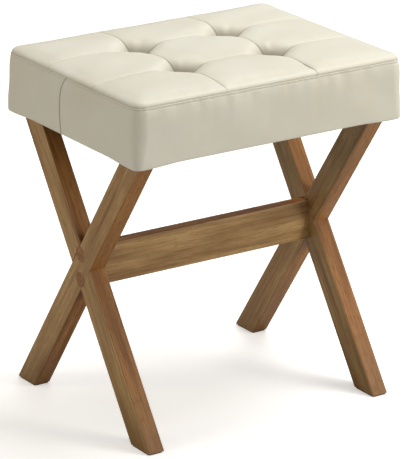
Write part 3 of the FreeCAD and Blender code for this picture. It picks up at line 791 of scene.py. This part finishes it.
def cover_material(colour):
    material, wire, shader = new_material("ivory_cover")
    vector = wire.object_vector()
    grain = wire.group("pressed_grain", Vector=vector)
    worn = wire.group(
        "soft_wear", Vector=vector, Color=colour4(colour), Worn=colour4(colour, (0.92, 0.89, 0.82)),
        Scale=11.0, Amount=0.55)
    # painted shade in the fine creases of the pressed grain
    grain_crease_shade = wire.times(grain["Crease"], 0.25)
    grain_crease_shaded = wire.mix(worn["Color"], colour4(colour, (0.8, 0.76, 0.68)), grain_crease_shade)
    # painted shade: the cover is darkened in its tuft pits, along its seams and under the edge seam's lip
    folds = wire.node("ShaderNodeAttribute", {"attribute_name": "fold_shade"}).outputs["Fac"]
    painted_fold_shade = wire.mix(grain_crease_shaded, colour4(colour, (0.42, 0.38, 0.32)), wire.span(folds, 0.06, 0.5, 0, 0.78))
    wire.fill(
        shader, Base_Color=painted_fold_shade, Roughness=grain["Roughness"], Sheen_Weight=0.12, Sheen_Roughness=0.45,
        Specular_IOR_Level=0.32)
    wire.bump(shader, grain["Height"], 0.22, 0.00025)
    return material


def simple_material(name, base, worn, scale, rough, metallic=0.0, bump_scale=900.0, height=0.0002):
    """A plain finish with slow changes of tone and a fine grain."""
    material, wire, shader = new_material(name)
    vector = wire.object_vector()
    tone = wire.group(
        "soft_wear", Vector=vector, Color=colour4(base), Worn=colour4(worn), Scale=scale, Amount=0.8)
    fine = wire.noise(vector, bump_scale, 3.0)
    wire.fill(
        shader, Base_Color=tone["Color"], Roughness=wire.span(fine, 0.3, 0.7, rough - 0.08, rough + 0.1),
        Metallic=metallic)
    wire.bump(shader, fine, 0.4, height)
    return material


def dress(names, material):
    """Give carried-over nodes a material and their slot."""
    for name in names:
        finish(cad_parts[name], material)


def both_sides(*names):
    return [f"{side}_{name}" for side in ("left", "right") for name in names]


# Dust cover and staples


def dust_cover_mesh(settings):
    """A thin cloth stretched under the seat. It hangs a little between the cleats."""
    half_x = DUST_HIGH.x
    half_y = DUST_HIGH.y
    radius = settings.corner_radius
    step = 5 * MM
    columns = round(2 * half_x / step) + 1
    rows = round(2 * half_y / step) + 1
    flat = np.meshgrid(np.linspace(-half_x, half_x, columns), np.linspace(-half_y, half_y, rows))
    x, y = round_corners(*flat, half_x - radius, half_y - radius, radius)
    between = smooth_step(CLEAT_INNER - np.abs(x), 0, 60 * MM)
    edge = np.minimum(half_x - np.abs(x), half_y - np.abs(y))
    hang = settings.sag * between * smooth_step(edge, 20 * MM, 90 * MM)
    grain_crease_shade = 0.25 * MM * ripple(x + 0.4 * y, 45 * MM, 8) * smooth_step(hang, 0, settings.sag)
    bottom, faces, rim = grid_mesh(x, y, DUST_LOW.z - hang + np.minimum(grain_crease_shade, 0))
    top = bottom + [0, 0, settings.thickness * 0.98]
    below = faces[:, [0, 3, 2, 1]]
    above = below[:, ::-1] + x.size
    after = np.roll(rim, -1)
    wall = np.stack([rim, after, after + x.size, rim + x.size], axis=1)
    return np.concatenate([bottom, top]), np.concatenate([below, above, wall]).tolist()


def plate_outline(half_x, half_y, radius, steps):
    """Points round a rounded rectangle. Its straight runs have no points between their ends."""
    points = []
    for corner, (side_x, side_y) in enumerate(((1, 1), (-1, 1), (-1, -1), (1, -1))):
        for angle in np.radians(90 * corner + np.linspace(0, 90, steps + 1)):
            points.append((
                side_x * (half_x - radius) + radius * math.cos(angle),
                side_y * (half_y - radius) + radius * math.sin(angle)))
    return points


def staple_mesh():
    """One staple: a flat wire with its two ends turned up into the board."""
    half, rise, wire = 5 * MM, 0.25 * MM, 0.35 * MM
    path = [(-half, 1.2 * MM), (-half, 0), (-half + 0.5 * MM, -rise), (half - 0.5 * MM, -rise), (half, 0),
            (half, 1.2 * MM)]
    points, faces = [], []
    for along, up in path:
        for side, lift in ((-1, -1), (1, -1), (1, 1), (-1, 1)):
            points.append((along + lift * wire * 0.3, side * wire, up + lift * wire * 0.5))
    for start in range(0, len(points) - 4, 4):
        for edge in range(4):
            after = (edge + 1) % 4
            faces.append((start + edge, start + after, start + 4 + after, start + 4 + edge))
    faces += [(3, 2, 1, 0), tuple(len(points) - 4 + edge for edge in range(4))]
    return points, faces


def staple_tree(staple, material):
    """Geometry Nodes that set staples along a curve at a spacing, turned a little by a fixed seed."""
    tree = bpy.data.node_groups.new("staples_along_edge", "GeometryNodeTree")
    for label, kind in (("Geometry", "Geometry"), ("Spacing", "Float"), ("Turn", "Float"), ("Seed", "Int")):
        add_socket(tree, "INPUT", label, kind)
    add_socket(tree, "OUTPUT", "Geometry", "Geometry")
    wire = Wiring(tree)
    given = wire.node("NodeGroupInput").outputs
    end = wire.node("NodeGroupOutput")
    path = wire.node("GeometryNodeMeshToCurve", Mesh=given["Geometry"])
    places = wire.node(
        "GeometryNodeCurveToPoints", {"mode": "LENGTH"}, Curve=path.outputs[0],
        Length=given["Spacing"]).outputs
    shape = wire.node("GeometryNodeObjectInfo", Object=staple).outputs["Geometry"]
    chance = wire.node("FunctionNodeRandomValue", {"data_type": "FLOAT"}, Seed=given["Seed"])
    wire.feed(chance, 2, wire.times(given["Turn"], -1.0))
    wire.feed(chance, 3, given["Turn"])
    turn = wire.node("ShaderNodeCombineXYZ", Z=chance.outputs[1])
    as_turn = wire.node("FunctionNodeEulerToRotation", Euler=turn.outputs[0])
    facing = wire.node("FunctionNodeAlignRotationToVector", {"axis": "X"}, Vector=places["Tangent"])
    turned = wire.node(
        "FunctionNodeRotateRotation", {"rotation_space": "LOCAL"}, facing.outputs[0], as_turn.outputs[0])
    copies = wire.node(
        "GeometryNodeInstanceOnPoints", Points=places["Points"], Instance=shape, Rotation=turned.outputs[0])
    real = wire.node("GeometryNodeRealizeInstances", Geometry=copies.outputs[0])
    painted = wire.node("GeometryNodeSetMaterial", Geometry=real.outputs[0], Material=material)
    wire.fill(end, Geometry=painted.outputs[0])
    return tree


def staple_ring(settings, material):
    """Staples round the dust cover, as one plain mesh."""
    points, faces = staple_mesh()
    shape = bpy.data.meshes.new("staple_shape")
    shape.from_pydata(points, [], faces)
    staple = bpy.data.objects.new("staple_shape", shape)
    inset = settings.staple_inset
    outline = plate_outline(DUST_HIGH.x - inset, DUST_HIGH.y - inset, 8 * MM, 4)
    level = DUST_LOW.z - 0.05 * MM
    count = len(outline)
    path = bpy.data.meshes.new("staple_path")
    path.from_pydata([(x, y, level) for x, y in outline], [(k, (k + 1) % count) for k in range(count)], [])
    carrier = new_object("staple_path", path)
    tree = staple_tree(staple, material)
    modifier = carrier.modifiers.new("staples", "NODES")
    modifier.node_group = tree
    wanted = {"Spacing": settings.staple_spacing, "Turn": 0.12, "Seed": 3}
    for item in tree.interface.items_tree:
        if item.name in wanted and item.in_out == "INPUT":
            modifier[item.identifier] = wanted[item.name]
    mesh = bpy.data.meshes.new_from_object(evaluated(carrier))
    mesh.name = "dust_cover_staples"
    bpy.data.objects.remove(carrier)
    bpy.data.objects.remove(staple)
    return new_object("dust_cover_staples", mesh)


# Studio


def make_floor(settings):
    """A wide pale floor, seen a little brighter than it lights the stool, and brighter still far away."""
    reach = 30.0
    corners = [(-reach, -reach, 0), (reach, -reach, 0), (reach, reach, 0), (-reach, reach, 0)]
    floor = new_piece("studio_floor", corners, [(0, 1, 2, 3)])
    material, wire, shader = new_material("studio_floor")
    vector = wire.object_vector()
    cloudy = wire.grey(wire.span(wire.noise(vector, 3.0, 3.0), 0.3, 0.7, 0.98, 1.0))
    seen = wire.node("ShaderNodeLightPath").outputs["Is Camera Ray"]
    tone = wire.mix(
        colour4(settings.floor_colour, settings.floor_bounce), colour4(settings.floor_colour), seen)
    away = wire.vector_math("LENGTH", vector)["Value"]
    glow = wire.math("ADD", settings.floor_glow, wire.span(away, 0.9, 3.0, 0, 0.6))
    wire.fill(
        shader, Base_Color=wire.mix(tone, cloudy, 1.0, "MULTIPLY"), Roughness=0.8,
        Emission_Color=(1, 1, 1, 1), Emission_Strength=wire.times(seen, glow))
    floor.data.materials.append(material)


def area_light(name, place, aim_height, size, watts, colour):
    """A round light that shines at a point over the origin."""
    light = bpy.data.lights.new(name, "AREA")
    light.shape = "DISK"
    light.size = size
    light.energy = watts
    light.color = colour
    lamp = new_object(name, light)
    lamp.location = place
    lamp.rotation_euler = (Vector((0, 0, aim_height)) - Vector(place)).to_track_quat("-Z", "Y").to_euler()


def make_lights(settings):
    """A warm surround that the camera sees as white, and three soft lights."""
    scene = bpy.context.scene
    scene.view_settings.view_transform = "Standard"
    world = bpy.data.worlds.new("studio_surround")
    world.use_nodes = True
    wire = Wiring(world.node_tree)
    seen = wire.node("ShaderNodeLightPath").outputs["Is Camera Ray"]
    wire.fill(
        world.node_tree.nodes["Background"], Color=wire.mix((1, 0.96, 0.88, 1), (1, 1, 1, 1), seen),
        Strength=wire.span(seen, 0, 1, settings.surround, 1.0))
    scene.world = world
    area_light("key_light", (0.9, 0.05, 2.35), 0.4, 1.6, settings.key_power, (1, 0.995, 0.985))
    area_light("front_light", (1.7, -2.2, 1.0), 0.3, 1.2, settings.front_power, (1, 0.95, 0.87))
    area_light("left_light", (-2.6, 0.6, 1.2), 0.3, 1.2, settings.left_power, (1, 0.9, 0.74))


def make_camera():
    """A long lens at the photograph's viewing angle."""
    place = (-2.19376, -3.23064, 1.59829)
    yaw, pitch, roll = (math.radians(angle) for angle in (34.209, 19.442, 0.419))
    ahead = Vector((math.sin(yaw) * math.cos(pitch), math.cos(yaw) * math.cos(pitch), -math.sin(pitch)))
    level = Vector((math.cos(yaw), -math.sin(yaw), 0))
    upright = level.cross(ahead)
    right = level * math.cos(roll) + upright * math.sin(roll)
    up = upright * math.cos(roll) - level * math.sin(roll)
    lens = bpy.data.cameras.new("camera")
    lens.lens = 248.09
    lens.sensor_width = 36
    lens.clip_end = 100
    camera = new_object("camera", lens)
    camera.matrix_world = Matrix.Translation(place) @ Matrix((right, up, -ahead)).transposed().to_4x4()
    bpy.context.scene.camera = camera


# Operators


class StoolOperator:
    bl_options = {"REGISTER", "UNDO"}


class STOOL_OT_cushion(StoolOperator, bpy.types.Operator):
    """Make the tufted cushion with its seams, puckers and hem"""

    bl_idname = "stool.cushion"
    bl_label = "Cushion"

    def execute(self, context):
        form = CushionForm(context.scene.stool_cushion)
        points, faces, fold_shade = cushion_mesh(form)
        points = points + blow_up(form, points, faces)
        cushion = new_piece("cushion", points, faces)
        # the cushion's painted shade, kept on its points for the cover's material
        folds = cushion.data.attributes.new("fold_shade", "FLOAT", "POINT")
        folds.data.foreach_set("value", fold_shade.astype(np.float32))
        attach(cushion, BODY)
        finish(cushion, cover_material(form.set.colour))
        panels = [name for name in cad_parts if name.startswith("top_panel")]
        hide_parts("foam_pad", "side_band", "edge_welt", *panels)
        return {"FINISHED"}


class STOOL_OT_timber(StoolOperator, bpy.types.Operator):
    """Stain the legs, stretcher, plugs, cleats and seat board, with painted shade on their turned faces and
    near the floor, and painted highlights on their edges
    """

    bl_idname = "stool.timber"
    bl_label = "Timber"

    def execute(self, context):
        settings = context.scene.stool_timber
        foot_low, foot_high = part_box("right_foot_pad_front")
        rail_low, rail_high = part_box("stretcher")
        foot = (foot_low + foot_high) / 2
        crossing = (rail_low + rail_high) / 2
        lean = math.atan2(-foot.y, crossing.z - foot.z)
        quarter = math.pi / 2
        # painted shade for the legs' faces that are turned from the light
        leg_face_shade = (0.84, 0.61, 0.4)
        across = (0, 1, 0)
        for name, names, slot, options in (
            ("stained_front_leg", both_sides("leg_front"), "stained_wood",
             {"turn": (lean, quarter, 0), "face_shade_tint": leg_face_shade}),
            ("stained_back_leg", both_sides("leg_back"), "stained_wood",
             {"turn": (-lean, quarter, 0), "shift": (0.7, 0.3, 0.1), "face_shade_tint": leg_face_shade}),
            # the stretcher's top and bottom get painted shade, as under the seat
            ("stained_stretcher", ["stretcher"], "stained_wood",
             {"shift": (0.2, 0.5, 0.4), "gain": 0.95, "face_shade_tint": (1.2, 0.78, 0.5), "plain_way": across}),
            ("stained_cleat", both_sides("cleat"), "plain_wood",
             {"turn": (0, 0, quarter), "gain": 0.75, "coat": 0.0}),
            # the plugs' side faces get painted shade too
            ("stained_plug", both_sides("plug_lower", "plug_upper"), "plug_wood",
             {"shift": (0.3, 0, 0), "gain": 0.66, "figure": 140.0, "face_shade_tint": (1.15, 0.86, 0.74),
              "plain_way": across, "edge_light_and_shade": 0.0}),
            ("plywood_board", ["seat_board"], "plywood",
             {"gain": 1.6, "figure": 35.0, "pores": 0.2, "coat": 0.0}),
        ):
            dress(names, timber(name, settings, **options))
        return {"FINISHED"}


class STOOL_OT_fittings(StoolOperator, bpy.types.Operator):
    """Finish the bolts, washers, inserts, screws, nuts, ties and foot pads"""

    bl_idname = "stool.fittings"
    bl_label = "Fittings"

    def execute(self, context):
        steel = both_sides(
            "stretcher_bolts", "stretcher_washers", "stretcher_inserts", "cleat_screws", "seat_bolts",
            "seat_washers", "tee_nuts")
        dress([*steel, "tuft_washers"], simple_material(
            "zinc_plate", (0.62, 0.62, 0.6), (0.42, 0.43, 0.44), 160.0, 0.32, metallic=1.0))
        dress(["tuft_ties"], simple_material(
            "waxed_twine", (0.78, 0.74, 0.62), (0.6, 0.55, 0.42), 300.0, 0.65, bump_scale=2500.0))
        dress(both_sides("foot_pad_front", "foot_pad_back"), simple_material(
            "foot_rubber", (0.03, 0.026, 0.022), (0.06, 0.05, 0.042), 60.0, 0.75))
        return {"FINISHED"}


class STOOL_OT_dust_cover(StoolOperator, bpy.types.Operator):
    """Make the dust cover under the seat and the staples round its edge"""

    bl_idname = "stool.dust_cover"
    bl_label = "Dust cover"

    def execute(self, context):
        settings = context.scene.stool_dust_cover
        cloth = new_piece("dust_cover_cloth", *dust_cover_mesh(settings))
        black = simple_material(
            "black_spunbond", (0.022, 0.022, 0.023), (0.035, 0.034, 0.033), 40.0, 0.85, bump_scale=1600.0,
            height=0.0003)
        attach(cloth, BODY)
        finish(cloth, black)
        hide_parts("dust_cover")
        wire = simple_material(
            "staple_wire", (0.66, 0.66, 0.64), (0.45, 0.45, 0.46), 200.0, 0.3, metallic=1.0)
        staples = staple_ring(settings, wire)
        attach(staples, BODY)
        finish(staples, wire)
        return {"FINISHED"}


class STOOL_OT_studio(StoolOperator, bpy.types.Operator):
    """Set up the pale floor, the soft lights and the camera"""

    bl_idname = "stool.studio"
    bl_label = "Studio"

    def execute(self, context):
        settings = context.scene.stool_studio
        make_floor(settings)
        make_lights(settings)
        make_camera()
        return {"FINISHED"}


class STOOL_PT_panel(bpy.types.Panel):
    """Lists the stool's pieces and their settings"""

    bl_idname = "STOOL_PT_panel"
    bl_label = "Vanity Stool"
    bl_space_type = "VIEW_3D"
    bl_region_type = "UI"
    bl_category = "Vanity Stool"

    def draw(self, context):
        for operator, kind in STEPS:
            column = self.layout.column()
            column.operator(operator.bl_idname)
            if kind:
                settings = getattr(context.scene, settings_name(operator))
                for name in kind.__annotations__:
                    column.prop(settings, name)


# The operators in the order they run, each with the settings it reads
STEPS = (
    (STOOL_OT_timber, TimberSettings),
    (STOOL_OT_fittings, None),
    (STOOL_OT_cushion, CushionSettings),
    (STOOL_OT_dust_cover, DustCoverSettings),
    (STOOL_OT_studio, StudioSettings),
)


def settings_name(operator):
    """Where the scene keeps an operator's settings, such as stool_timber for stool.timber."""
    return operator.bl_idname.replace(".", "_")


def register():
    for operator, kind in STEPS:
        bpy.utils.register_class(operator)
        if kind:
            bpy.utils.register_class(kind)
            setattr(bpy.types.Scene, settings_name(operator), bpy.props.PointerProperty(type=kind))
    bpy.utils.register_class(STOOL_PT_panel)


def unregister():
    bpy.utils.unregister_class(STOOL_PT_panel)
    for operator, kind in STEPS:
        if kind:
            delattr(bpy.types.Scene, settings_name(operator))
            bpy.utils.unregister_class(kind)
        bpy.utils.unregister_class(operator)


def main():
    register()
    for operator, _ in STEPS:
        group, name = operator.bl_idname.split(".")
        getattr(getattr(bpy.ops, group), name)()


if __name__ == "__main__":
    main()
